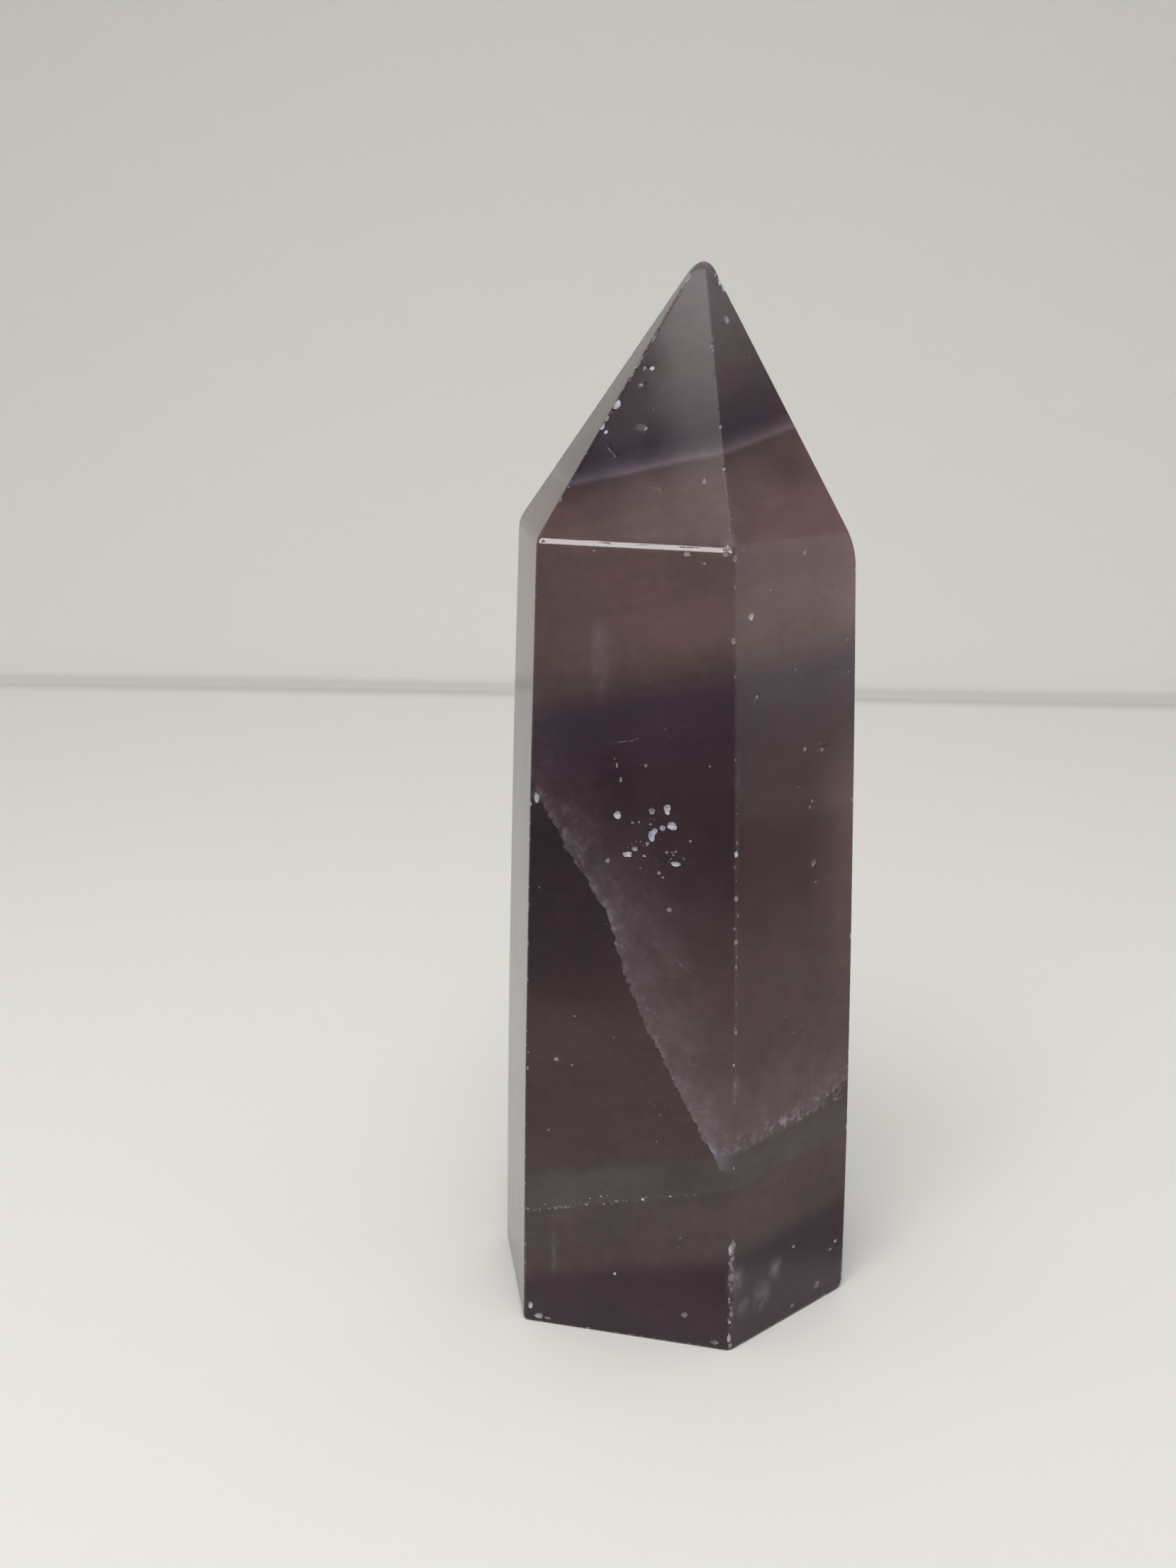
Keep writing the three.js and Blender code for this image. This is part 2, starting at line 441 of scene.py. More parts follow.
def fluorite():
    shader = Shader("fluorite")
    place = shader.place()
    level = band_level(shader, place)
    drift = shader.noise(place, BAND_DRIFT_SIZE)
    drift = shader.math("MULTIPLY_ADD", drift, BAND_DRIFT, -BAND_DRIFT / 2)
    level = shader.math("ADD", level, drift)
    share = shader.math("DIVIDE", level, BAND_RANGE, clamp=True)
    bands = shader.ramp(share, [(at / BAND_RANGE, colour) for at, colour in BANDS])

    cloud = shader.spread(shader.noise(place, 5.0), 0.3, 0.7, 0.93, 1.07)
    laminae = shader.spread(shader.lines(level, 1.2), 0.25, 0.75, 0.97, 1.03)
    grain = shader.spread(shader.noise(place, 0.8), 0.3, 0.7, 0.95, 1.05)
    shade = shader.product(cloud, laminae, grain)
    bands = shader.mix(1.0, bands, shade, blend="MULTIPLY")

    for middle, size, tint in DARK_CLOUDS:
        bands = shader.mix(shader.spot(place, middle, size), bands, tint, blend="MULTIPLY")
    colour = milky(shader, place, level, bands)
    outside_purple = shader.math(
        "ADD",
        shader.spread(level, *GLOW_BELOW_PURPLE),
        shader.spread(level, *GLOW_ABOVE_PURPLE),
    )
    glow = shader.product(shader.spot(place, *CORNER_GLOW), outside_purple)
    colour = shader.mix(glow, colour, CORNER_GLOW_COLOUR, blend="ADD")
    # Painted light: the right-hand faces are made warmer and lighter.
    side_light = shader.product(
        shader.spread(shader.along(place, (1, 0, 0)), *SIDE_LIGHT_SPAN),
        shader.by_height(level, SIDE_LIGHT_BY_LEVEL),
    )
    colour = shader.mix(side_light, colour, PAINTED_SIDE_LIGHT, blend="ADD")

    polish = shader.noise(place, 5.0, detail=3.0, roughness=0.7)
    roughness = shader.spread(polish, 0.3, 0.75, *POLISH_ROUGHNESS)
    surface = shader.add(
        "BsdfPrincipled",
        {
            "Base Color": colour,
            "Roughness": roughness,
            "IOR": FLUORITE_IOR,
            "Transmission Weight": CLEAR_SHARE,
            "Subsurface Weight": SCATTERED_SHARE,
            "Subsurface Radius": SCATTER_RADII,
            "Subsurface Scale": SCATTER_SCALE * MM,
        },
    )
    absorption = shader.add(
        "VolumeAbsorption", {"Color": DEPTH_COLOUR, "Density": DEPTH_DENSITY}
    )
    return shader.finished(surface, absorption)


def fracture(name, dark, light):
    """The frosted inside of a chip."""
    shader = Shader(name)
    place = shader.place()
    frost = shader.noise(place, 0.3, detail=4.0, roughness=0.7)
    colour = shader.ramp(frost, [(0.3, dark), (0.6, light)])
    grain = shader.add("Bump", {"Height": frost, "Strength": 0.5, "Distance": 0.05 * MM})
    surface = shader.add(
        "BsdfPrincipled",
        {
            "Base Color": colour,
            "Roughness": 0.45,
            "IOR": FLUORITE_IOR,
            "Normal": grain.outputs[0],
        },
    )
    return shader.finished(surface)


def fresh_fracture():
    return fracture("fresh_fracture", (0.17, 0.165, 0.19), (0.48, 0.485, 0.56))


def worn_fracture():
    return fracture("worn_fracture", (0.085, 0.07, 0.078), (0.27, 0.24, 0.26))


def crack_milk():
    """The milky skin of the healed crack, with the smoky film of tiny bubbles."""
    shader = Shader("healed_crack")
    place = shader.place()
    film = shader.noise(place, 1.6, detail=5.0, roughness=0.65)
    colour = shader.ramp(film, [(0.3, (0.20, 0.16, 0.19)), (0.7, (0.75, 0.70, 0.76))])
    surface = shader.add(
        "BsdfPrincipled", {"Base Color": colour, "Roughness": 0.6, "IOR": FLUORITE_IOR}
    )
    return shader.finished(surface)


def paper(name, colour, top_share=1.0):
    """The tent's paper, shaded at the fold. Its colour falls to top_share upwards, as painted
    shade.
    """
    shader = Shader(name)
    axes = shader.add("SeparateXYZ", {0: shader.place()}).outputs
    sides = [shader.math("ABSOLUTE", axes[axis]) for axis in ("X", "Y")]
    from_wall = shader.math("SUBTRACT", TENT_REACH, shader.math("MAXIMUM", *sides))
    from_fold = shader.math(
        "ADD",
        shader.math("DIVIDE", from_wall, FOLD_ON_FLOOR),
        shader.math("DIVIDE", axes["Z"], FOLD_ON_WALL),
    )
    # Painted shade: darker in the fold, and darker further up the wall.
    shade = shader.product(
        shader.spread(from_fold, 0.0, 1.0, FOLD_SHADE, 1.0),
        shader.spread(axes["Z"], 0.0, WALL_SHADE_HEIGHT, 1.0, top_share, smooth=False),
    )
    shaded = shader.mix(1.0, (*colour, 1), shade, blend="MULTIPLY")
    surface = shader.add(
        "BsdfPrincipled", {"Base Color": shaded, "Roughness": 0.8, "IOR": 1.4}
    )
    return shader.finished(surface)


def floor_paper():
    return paper("floor_paper", (0.800, 0.793, 0.766))


def wall_paper():
    # Painted shade: the wall darkens upwards to this share of its colour.
    return paper("wall_paper", (0.814, 0.806, 0.780), top_share=0.755)


# ----------------------------------------------------------------- the surface


# First and last steps of the search for a corner, in degrees.
CORNER_SEARCH = (4, 0.05)


class PackedSurface:
    """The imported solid's surface, asked where it lies."""

    def __init__(self):
        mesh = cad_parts[NODE].data
        points = [vertex.co.copy() for vertex in mesh.vertices]
        self.tree = BVHTree.FromPolygons(points, [tuple(p.vertices) for p in mesh.polygons])
        self.tip = max(points, key=lambda point: point.z)

    def middle(self, height):
        """The point at a height on the line from the base's middle to the tip."""
        return self.tip * (height / self.tip.z)

    def outward(self, height, azimuth):
        """The surface point met at a height, going out from the middle."""
        start = self.middle(height)
        way = Vector((math.sin(azimuth), -math.cos(azimuth), 0))
        return self.tree.ray_cast(start, way)[0]

    def corner(self, height, azimuth):
        """The surface point at a height that lies furthest towards an azimuth."""
        towards = Vector((math.sin(azimuth), -math.cos(azimuth), 0))
        step, finest = [math.radians(turn) for turn in CORNER_SEARCH]
        best = azimuth
        while step > finest:
            tried = [best + step * k for k in range(-4, 5)]
            best = max(tried, key=lambda a: self.outward(height, a).dot(towards))
            step /= 4
        return self.outward(height, best)

    def snap(self, place):
        """The nearest surface point to a place, and the surface's normal there."""
        point, normal, _, _ = self.tree.find_nearest(place)
        return point, normal


# Stretches of height, each with its step: short where the surface turns.
RING_STRETCHES = (
    (0.0, 0.3, 0.06),
    (0.3, 58.8, 0.42),
    (58.8, 62.9, 0.12),
    (62.9, 78.5, 0.4),
    (78.5, 79.6, 0.1),
    (79.6, 79.9, 0.05),
    (79.9, 79.99, 0.015),
)
# Rings start this far above the seat, where a level ray still meets the stone.
LOWEST_RING = 0.001
# Up to the first height the points belong to the flat seat, and from the second
# up they take the waviness of the polish.
SEAT_TOP = 0.01
WAVES_START = 0.5
# Places of the columns along each face, from an edge to the face's middle, as
# shares of the face's width.
COLUMN_SHARES = (0.0, 0.008, 0.017, 0.028, 0.042, 0.06, 0.085, 0.125, 0.19, 0.28, 0.39, 0.5)


def ring_heights():
    heights = []
    for low, high, step in RING_STRETCHES:
        heights += list(np.arange(low, high - step / 4, step))
    return heights


# The polish is slightly wavy: the sizes of its long and its short waves, how
# strong the short ones are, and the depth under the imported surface, which the
# waves change by up to about WAVE_DEPTH.
LONG_WAVE = 14
SHORT_WAVE = 4
SHORT_WAVE_SHARE = 0.3
POLISH_DEPTH = 0.02
WAVE_DEPTH = 0.015


def undulation(point, normal):
    """Where a surface point goes when it is moved inwards by the waviness."""
    wave = noise.noise(point / (LONG_WAVE * MM))
    wave += SHORT_WAVE_SHARE * noise.noise(point / (SHORT_WAVE * MM))
    return point - normal * (POLISH_DEPTH + WAVE_DEPTH * wave) * MM


def fine_mesh(surface):
    """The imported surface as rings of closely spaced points."""
    mesh = bmesh.new()
    across = list(COLUMN_SHARES) + [1 - share for share in COLUMN_SHARES[-2:0:-1]]
    rings = []
    for height in ring_heights():
        level = max(height, LOWEST_RING) * MM
        start = surface.middle(level)
        corners = [surface.corner(level, math.radians(edge)) for edge in EDGE_AZIMUTHS]
        ring = []
        for here, after in zip(corners, corners[1:] + corners[:1]):
            for share in across:
                aim = here.lerp(after, share) - start
                azimuth = math.atan2(aim.x, -aim.y)
                ring.append(surface.outward(level, azimuth))
        rings.append([mesh.verts.new(point) for point in ring])
    for low, high in zip(rings, rings[1:]):
        for k in range(len(low)):
            after = (k + 1) % len(low)
            mesh.faces.new((low[k], low[after], high[after], high[k]))
    tip = mesh.verts.new(surface.tip)
    for k in range(len(rings[-1])):
        mesh.faces.new((rings[-1][k], rings[-1][(k + 1) % len(rings[-1])], tip))
    mesh.faces.new(rings[0][::-1])
    mesh.normal_update()
    for vertex in mesh.verts:
        if vertex.co.z > WAVES_START * MM:
            vertex.co = undulation(vertex.co, vertex.normal)
        elif vertex.co.z < SEAT_TOP * MM:
            vertex.co.z = 0
    return mesh


# ------------------------------------------------------------------- the chips

# Finishes of a chip's inside: the material's place in the tower's list.
POLISHED, FRESH, WORN = 0, 1, 2

# Chips and pits that stand out, as (x, y, z, radius, finish): where on the stone,
# snapped to its surface, how big and how bright.
POINT_CHIPS = (
    (1.9, -0.45, 79.1, 0.18, WORN),
    (2.3, -0.5, 78.6, 0.22, FRESH),
    (2.6, -0.5, 78.1, 0.18, WORN),
    (-2.8, -4.7, 72.9, 0.17, FRESH),
    (-2.1, -4.8, 72.9, 0.16, WORN),
    (-1.6, -4.8, 72.9, 0.20, FRESH),
    (-2.2, -5.4, 71.8, 0.20, WORN),
    (-3.8, -6.2, 70.5, 0.36, FRESH),
    (-1.5, -7.0, 69.0, 0.19, WORN),
    (-4.3, -7.2, 68.7, 0.17, FRESH),
    (3.0, -1.6, 76.1, 0.30, WORN),
    (2.4, -3.9, 74.4, 0.17, WORN),
    (3.7, -6.9, 69.3, 0.20, WORN),
    (4.3, -8.4, 66.6, 0.20, WORN),
    (3.0, -8.9, 65.8, 0.21, WORN),
    (-4.1, -11.3, 61.1, 0.18, WORN),
    (2.4, -11.3, 61.2, 0.25, WORN),
    (5.2, -11.2, 61.7, 0.20, WORN),
    (5.1, -11.3, 61.3, 0.24, WORN),
    (5.7, -11.2, 61.0, 0.26, WORN),
    (6.1, -10.5, 61.5, 0.16, WORN),
    (-7.9, -11.2, 61.6, 0.20, POLISHED),
    (9.6, -5.2, 60.6, 0.24, WORN),
)
RIGHT_PITS = (
    (6.7, -10.0, 56.8, 0.28, FRESH),
    (12.4, -1.6, 53.7, 0.18, WORN),
    (12.6, -1.5, 51.3, 0.15, WORN),
    (7.2, -9.7, 51.1, 0.20, WORN),
    (10.2, -5.6, 46.4, 0.20, WORN),
    (11.2, -4.0, 46.0, 0.20, WORN),
    (9.9, -6.2, 43.7, 0.17, WORN),
    (10.8, -5.0, 42.3, 0.20, WORN),
    (10.7, -5.2, 41.9, 0.16, WORN),
    (11.1, -4.9, 37.5, 0.30, WORN),
    (11.3, -4.7, 36.0, 0.12, WORN),
    (10.3, -6.7, 24.5, 0.15, FRESH),
    (10.9, -6.5, 6.2, 0.20, FRESH),
    (13.0, -3.2, 0.1, 0.60, POLISHED),
    (12.6, -4.1, 1.5, 0.35, WORN),
    (11.0, -6.5, 0.9, 0.25, WORN),
    (13.7, -2.3, 4.6, 0.20, FRESH),
    (13.4, -2.8, 4.1, 0.15, FRESH),
)
# Marks on the front face, as (x, z, half width, half height, finish).
FRONT_MARKS = (
    (-2.2, 42.3, 0.32, 0.32, FRESH),
    (0.3, 42.8, 0.26, 0.26, WORN),
    (1.4, 43.0, 0.30, 0.44, FRESH),
    (-1.1, 41.8, 0.17, 0.17, WORN),
    (-0.6, 41.9, 0.16, 0.16, WORN),
    (0.2, 41.8, 0.15, 0.15, WORN),
    (1.8, 41.8, 0.46, 0.33, FRESH),
    (1.1, 41.6, 0.24, 0.22, FRESH),
    (0.5, 41.3, 0.26, 0.28, FRESH),
    (0.3, 40.9, 0.30, 0.42, FRESH),
    (0.0, 40.3, 0.17, 0.26, WORN),
    (-0.9, 39.9, 0.26, 0.24, WORN),
    (-1.4, 39.4, 0.42, 0.27, FRESH),
    (3.1, 40.8, 0.17, 0.15, WORN),
    (1.4, 39.8, 0.17, 0.16, WORN),
    (2.1, 39.9, 0.16, 0.17, WORN),
    (2.1, 39.0, 0.38, 0.20, FRESH),
    (2.7, 39.4, 0.12, 0.12, WORN),
    (-2.9, 38.8, 0.20, 0.22, WORN),
    (-0.2, 39.4, 0.15, 0.14, WORN),
    (0.9, 38.2, 0.17, 0.20, WORN),
    (1.2, 37.9, 0.14, 0.13, WORN),
    (-2.3, 45.9, 0.12, 0.30, WORN),
    (-2.0, 44.9, 0.11, 0.28, WORN),
    (-0.2, 46.1, 0.20, 0.18, WORN),
    (1.7, 35.5, 0.20, 0.22, WORN),
    (5.9, 55.4, 0.20, 0.24, WORN),
    (-8.2, 43.1, 0.22, 0.48, FRESH),
    (-5.3, 26.4, 0.18, 0.13, WORN),
    (1.1, 25.4, 0.10, 0.10, WORN),
    (-2.3, 25.0, 0.13, 0.15, WORN),
    (-6.7, 22.8, 0.26, 0.20, WORN),
    (-5.5, 22.4, 0.12, 0.12, WORN),
    (-7.3, 16.8, 0.17, 0.15, WORN),
    (1.3, 19.2, 0.15, 0.12, WORN),
    (-2.0, 5.3, 0.15, 0.15, FRESH),
    (3.5, 2.6, 0.28, 0.25, WORN),
    (-8.8, 1.4, 0.22, 0.35, FRESH),
    (-8.1, 0.6, 0.45, 0.26, FRESH),
    (-7.4, 0.5, 0.30, 0.14, WORN),
    (5.9, 0.6, 0.40, 0.20, WORN),
)
# Fine specks sprinkled over the bruised patch: its middle, its reach and how many.
SPECKLED = ((0.6, -12.0, 40.4), 2.3, 26)
# Short scratches, each from (x, y, z) to (x, y, z).
SCRATCHES = (
    ((2.3, -12, 31.7), (2.8, -12, 31.1)),
    ((2.8, -12, 31.1), (3.5, -12, 30.7)),
    ((0.4, -12, 20.2), (1.5, -12, 19.5)),
    ((1.5, -12, 19.5), (1.7, -12, 20.3)),
    ((-2.1, -12, 47.7), (-1.3, -12, 47.8)),
    ((-1.3, -12, 47.8), (-0.7, -12, 48.1)),
    ((1.1, -12, 48.9), (1.4, -12, 48.5)),
    ((1.4, -12, 48.5), (1.7, -12, 47.9)),
    ((-4.0, -7.9, 67.8), (-3.3, -8.2, 67.1)),
)
SCRATCH_STEP = 0.13
SCRATCH_RADIUS = 0.075
SCRATCH_STRETCH = 2.0
# Bigger chips of the upright edges, as (edge, z, radius, stretch, finish).
EDGE_CHIPS = (
    (0, 40.1, 0.28, 1.2, FRESH),
    (0, 36.8, 0.30, 1.2, WORN),
    (0, 33.5, 0.24, 1.2, WORN),
    (0, 31.6, 0.18, 1.5, WORN),
    (0, 26.6, 0.24, 1.3, WORN),
    (0, 22.3, 0.20, 3.0, WORN),
    (0, 8.9, 0.15, 1.0, FRESH),
    (0, 8.0, 0.20, 1.0, FRESH),
    (0, 2.5, 0.20, 1.4, FRESH),
    (0, 1.1, 0.30, 1.8, FRESH),
    (5, 34.8, 0.20, 2.2, WORN),
    (5, 31.8, 0.20, 2.4, WORN),
    (1, 0.1, 0.80, 1.0, POLISHED),
    (1, 1.1, 0.35, 1.5, WORN),
    (1, 78.7, 0.30, 1.3, FRESH),
    (1, 78.2, 0.30, 1.4, FRESH),
    (5, 78.8, 0.42, 1.4, WORN),
    (5, 76.4, 0.34, 1.6, POLISHED),
    (5, 75.4, 0.34, 1.4, POLISHED),
    (5, 73.9, 0.30, 1.2, POLISHED),
)
# Wear of the upright edges: which edge, from what height to what height, how far
# apart the chips are and how big the biggest is.
EDGE_WEAR = (
    (0, 0.5, 9.5, 0.50, 0.34),
    (0, 9.5, 41, 1.9, 0.20),
    (0, 41, 48, 0.85, 0.24),
    (0, 48, 60, 3.5, 0.14),
    (0, 61.5, 78, 0.9, 0.15),
    (1, 0.5, 60, 1.8, 0.26),
    (1, 62, 78, 2.0, 0.20),
    (2, 0.5, 79, 1.8, 0.28),
    (3, 0.5, 79, 1.6, 0.28),
    (4, 0.5, 79, 1.8, 0.26),
    (5, 0.5, 45, 1.1, 0.20),
    (5, 45, 60, 3.0, 0.16),
    (5, 62, 69, 1.5, 0.22),
    (5, 69, 79, 0.45, 0.30),
)
WEAR_SCATTER = 0.14
# Distance from chip to chip, as a share of the step.
STEP_SCATTER = (0.4, 1.6)
# Sizes of worn chips: the smallest as a share of the biggest, and a power that
# makes small ones more frequent.
EDGE_SIZES = (0.35, 1.5)
RIM_SIZES = (0.4, 2)
# Rims that are chipped finely: their height at each upright edge, how far apart
# the chips are and how big the biggest is.
RIMS = (
    ((0.15, 0.15, 0.15, 0.15, 0.15, 0.15), 0.7, 0.20),
    ((61.6, 60.4, 60.6, 61.0, 61.4, 61.7), 1.6, 0.10),
)
# Finishes that wear leaves, and how long a worn chip may be for its width.
WEAR_FINISHES = (POLISHED, WORN, WORN, WORN, FRESH)
WEAR_STRETCH = (1.0, 2.4)
# How far up an edge its direction is looked for.
EDGE_LOOK_AHEAD = 0.5
# Stretches of the seam, from x to x, with the step of its crumbs, their sizes and
# finishes, how far they lie from its level, and how far above it the strays reach.
SEAM_STRETCHES = ((-9.0, -1.2, 0.19), (-1.2, 6.5, 0.6))
SEAM_SIZES = (0.06, 0.19)
SEAM_FINISHES = (FRESH, WORN, WORN)
SEAM_SCATTER = (-0.10, 0.12)
SEAM_STRAY = 0.6
# Pits scattered over the stone: how many, their sizes and between what heights.
SCATTERED_PITS = 90
SCATTERED_SIZES = (0.05, 0.12)
SCATTERED_HEIGHTS = (1, 76)
# How long a listed chip may be for its width, how many satellites it may
# have, and their distances and sizes as shares of its radius.
PLACED_STRETCH = (1.0, 1.4)
SATELLITES = (0, 1, 1, 2)
SATELLITE_DISTANCE = (1.2, 2.0)
SATELLITE_SIZE = (0.25, 0.5)
# A chip's depth, and how far its lump is lifted out of the surface, as shares of
# its radius, and how uneven the lump is.
CHIP_FLATNESS = 0.6
CHIP_LIFT = (0.12, 0.26)
CHIP_ROUGHNESS = (0.8, 1.16)
FINE_CHIP_RADIUS = 0.2
# How near two chips of a layer may be, as a multiple of their reaches.
LAYER_SPACING = 1.3
# A layer of chips leaves at least this share of the stone. On some random draws
# the exact boolean fails and leaves nothing.
LEAST_VOLUME_LEFT = 0.99
# Seeds of the chips' places and of their lumps' shapes.
PLACES_SEED = 11
LUMPS_SEED = 7
# Where marks of the front face and of the seam are put, before they are snapped
# to the surface.
FRONT_Y = -12.0
SEAM_Y = -12.3
# Faces that meet at more than this many degrees keep a sharp edge.
SHARP_ANGLE = 32


class Chip:
    """One bite out of the surface: where, how big, how long and how frosted."""

    def __init__(self, surface, place, radius, finish, stretch=1.0, long_way=None):
        self.point, self.normal = surface.snap(place)
        self.radius = radius * MM
        self.finish = finish
        self.stretch = stretch
        self.long_way = long_way or self.normal.orthogonal()

    def reach(self):
        return self.radius * max(self.stretch, 1 / self.stretch) ** 0.5

    def touches(self, other):
        apart = (self.point - other.point).length
        return apart < LAYER_SPACING * (self.reach() + other.reach())


def with_satellites(surface, place, radius, finish, draw):
    """A chip with smaller ones crumbled off around it."""
    chips = [Chip(surface, place, radius, finish, draw.uniform(*PLACED_STRETCH))]
    for _ in range(draw.choice(SATELLITES)):
        away = Vector([draw.uniform(-1, 1) for _ in range(3)]).normalized()
        beside = place + away * radius * draw.uniform(*SATELLITE_DISTANCE) * MM
        chips.append(Chip(surface, beside, radius * draw.uniform(*SATELLITE_SIZE), WORN))
    return chips


def worn_radius(biggest, least, crowding, draw):
    return biggest * (least + (1 - least) * draw.random() ** crowding)


def edge_chip(surface, edge, height, radius, stretch, finish):
    """A chip that lies along an upright edge."""
    azimuth = math.radians(EDGE_AZIMUTHS[edge])
    here = surface.corner(height * MM, azimuth)
    above = surface.corner((height + EDGE_LOOK_AHEAD) * MM, azimuth)
    return Chip(surface, here, radius, finish, stretch, (above - here).normalized())


def edge_chips(surface, draw):
    chips = [edge_chip(surface, *settings) for settings in EDGE_CHIPS]
    for edge, low, high, step, biggest in EDGE_WEAR:
        height = low
        while height < high:
            radius = worn_radius(biggest, *EDGE_SIZES, draw)
            stretch = draw.uniform(*WEAR_STRETCH)
            finish = draw.choice(WEAR_FINISHES)
            chip = edge_chip(surface, edge, height, radius, stretch, finish)
            aside = draw.uniform(-WEAR_SCATTER, WEAR_SCATTER) * MM
            chip.point, chip.normal = surface.snap(chip.point + Vector((aside, aside / 2, 0)))
            chips.append(chip)
            height += step * draw.uniform(*STEP_SCATTER)
    return chips


def rim_chips(surface, draw):
    chips = []
    for heights, step, biggest in RIMS:
        azimuths = [math.radians(azimuth) for azimuth in EDGE_AZIMUTHS]
        corners = [surface.corner(h * MM, azimuth) for h, azimuth in zip(heights, azimuths)]
        for here, after in zip(corners, corners[1:] + corners[:1]):
            way = (after - here).normalized()
            along = step * draw.random() * MM
            while along < (after - here).length:
                radius = worn_radius(biggest, *RIM_SIZES, draw)
                finish = draw.choice(WEAR_FINISHES)
                stretch = draw.uniform(*WEAR_STRETCH)
                chips.append(Chip(surface, here + way * along, radius, finish, stretch, way))
                along += step * draw.uniform(*STEP_SCATTER) * MM
    return chips


def seam_chips(surface, draw):
    """The row of crumbs along the green band's lower edge, on the front face."""
    sideways = Vector((1, 0, 0))
    smallest, biggest = SEAM_SIZES
    chips = []
    for start, end, step in SEAM_STRETCHES:
        x = start
        while x < end:
            level = SEAM_LEVEL + draw.uniform(*SEAM_SCATTER) + draw.random() ** 4 * SEAM_STRAY
            z = (level - BAND_NORMAL.x * x - BAND_NORMAL.y * SEAM_Y) / BAND_NORMAL.z
            radius = smallest + (biggest - smallest) * draw.random() ** 2
            finish = draw.choice(SEAM_FINISHES)
            stretch = draw.uniform(*WEAR_STRETCH)
            place = metres(x, SEAM_Y, z)
            chips.append(Chip(surface, place, radius, finish, stretch, sideways))
            x += step * draw.uniform(*STEP_SCATTER)
    return chips


def front_marks(surface, draw):
    """The marks and specks of the front face, and the scratches."""
    upwards = Vector((0, 0, 1))
    chips = []
    for x, z, across, up, finish in FRONT_MARKS:
        radius = (across * up) ** 0.5
        place = metres(x, FRONT_Y, z)
        chips.append(Chip(surface, place, radius, finish, up / across, upwards))
    middle, reach, count = SPECKLED
    for _ in range(count):
        turn, away = draw.uniform(0, 2 * math.pi), reach * draw.random() ** 0.7
        x, z = middle[0] + away * math.cos(turn), middle[2] + away * math.sin(turn)
        beside = metres(x, middle[1], z)
        chips.append(Chip(surface, beside, draw.uniform(*SCATTERED_SIZES), WORN))
    for start, end in SCRATCHES:
        start, end = metres(*start), metres(*end)
        way = (end - start).normalized()
        steps = math.ceil((end - start).length / (SCRATCH_STEP * MM))
        for k in range(steps):
            at = start.lerp(end, k / steps)
            chips.append(Chip(surface, at, SCRATCH_RADIUS, WORN, SCRATCH_STRETCH, way))
    return chips


def all_chips(surface):
    draw = random.Random(PLACES_SEED)
    chips = []
    for x, y, z, radius, finish in POINT_CHIPS + RIGHT_PITS:
        chips += with_satellites(surface, metres(x, y, z), radius, finish, draw)
    chips += front_marks(surface, draw)
    chips += edge_chips(surface, draw)
    chips += rim_chips(surface, draw)
    chips += seam_chips(surface, draw)
    for _ in range(SCATTERED_PITS):
        height = draw.uniform(*SCATTERED_HEIGHTS) * MM
        place = surface.outward(height, draw.uniform(0, 2 * math.pi))
        chips.append(Chip(surface, place, draw.uniform(*SCATTERED_SIZES), WORN))
    return chips


def add_lump(mesh, chip, draw):
    """Adds one rough lump to mesh, so placed that it takes a shallow bite."""
    normal = chip.normal
    along = (chip.long_way - normal * chip.long_way.dot(normal)).normalized()
    aside = normal.cross(along)
    slim = chip.stretch**0.5
    axes = Matrix((along * slim, aside / slim, normal * CHIP_FLATNESS)).transposed()
    lift = normal * chip.radius * draw.uniform(*CHIP_LIFT)
    fineness = 2 if chip.radius > FINE_CHIP_RADIUS * MM else 1
    made = bmesh.ops.create_icosphere(mesh, subdivisions=fineness, radius=1.0)
    for vertex in made["verts"]:
        rough = vertex.co * draw.uniform(*CHIP_ROUGHNESS) * chip.radius
        vertex.co = chip.point + lift + axes @ rough
    for face in {face for vertex in made["verts"] for face in vertex.link_faces}:
        face.material_index = chip.finish


def chip_layers(chips):
    """The chips sorted into layers within which none touches another."""
    layers = []
    for chip in chips:
        free = [layer for layer in layers if not any(map(chip.touches, layer))]
        if not free:
            free = [[]]
            layers.append(free[0])
        free[0].append(chip)
    return layers


def volume(mesh):
    measured = bmesh.new()
    measured.from_mesh(mesh)
    found = measured.calc_volume()
    measured.free()
    return found


def bite(tower, layer, draw):
    """Cuts one layer of chips out of the tower."""
    lumps = bmesh.new()
    for chip in layer:
        add_lump(lumps, chip, draw)
    mesh = mesh_of("chips", lumps)
    for material in tower.data.materials:
        mesh.materials.append(material)
    cutter = add_object("chips", mesh)
    cut = tower.modifiers.new("chips", "BOOLEAN")
    cut.operation = "DIFFERENCE"
    cut.solver = "EXACT"
    cut.object = cutter
    bpy.context.view_layer.update()
    evaluated = tower.evaluated_get(bpy.context.evaluated_depsgraph_get())
    result = bpy.data.meshes.new_from_object(evaluated)
    if volume(result) < LEAST_VOLUME_LEFT * volume(tower.data):
        raise RuntimeError("a layer of chips has cut the tower away")
    tower.modifiers.remove(cut)
    tower.data = result
    bpy.data.objects.remove(cutter)


def polished_tower(surface):
    mesh = mesh_of("polished_fluorite", fine_mesh(surface))
    tower = add_object("polished_fluorite", mesh)
    for material in (fluorite(), fresh_fracture(), worn_fracture()):
        mesh.materials.append(material)
    draw = random.Random(LUMPS_SEED)
    for layer in chip_layers(all_chips(surface)):
        bite(tower, layer, draw)
    tower.data.shade_smooth()
    tower.data.set_sharp_from_angle(angle=math.radians(SHARP_ANGLE))
    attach(tower, "root")
    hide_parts(NODE)


# ------------------------------------------------------------ the healed crack

CRACK_STEP = 0.45
CRACK_SPAN = 26
# The sheet keeps this far inside the surface, and between these heights.
CRACK_INSET = 0.25
CRACK_HEIGHTS = (13, 44)
# How far it rumples, and over what distance.
CRACK_RUMPLE = 0.35
CRACK_RUMPLE_SIZE = 3.0
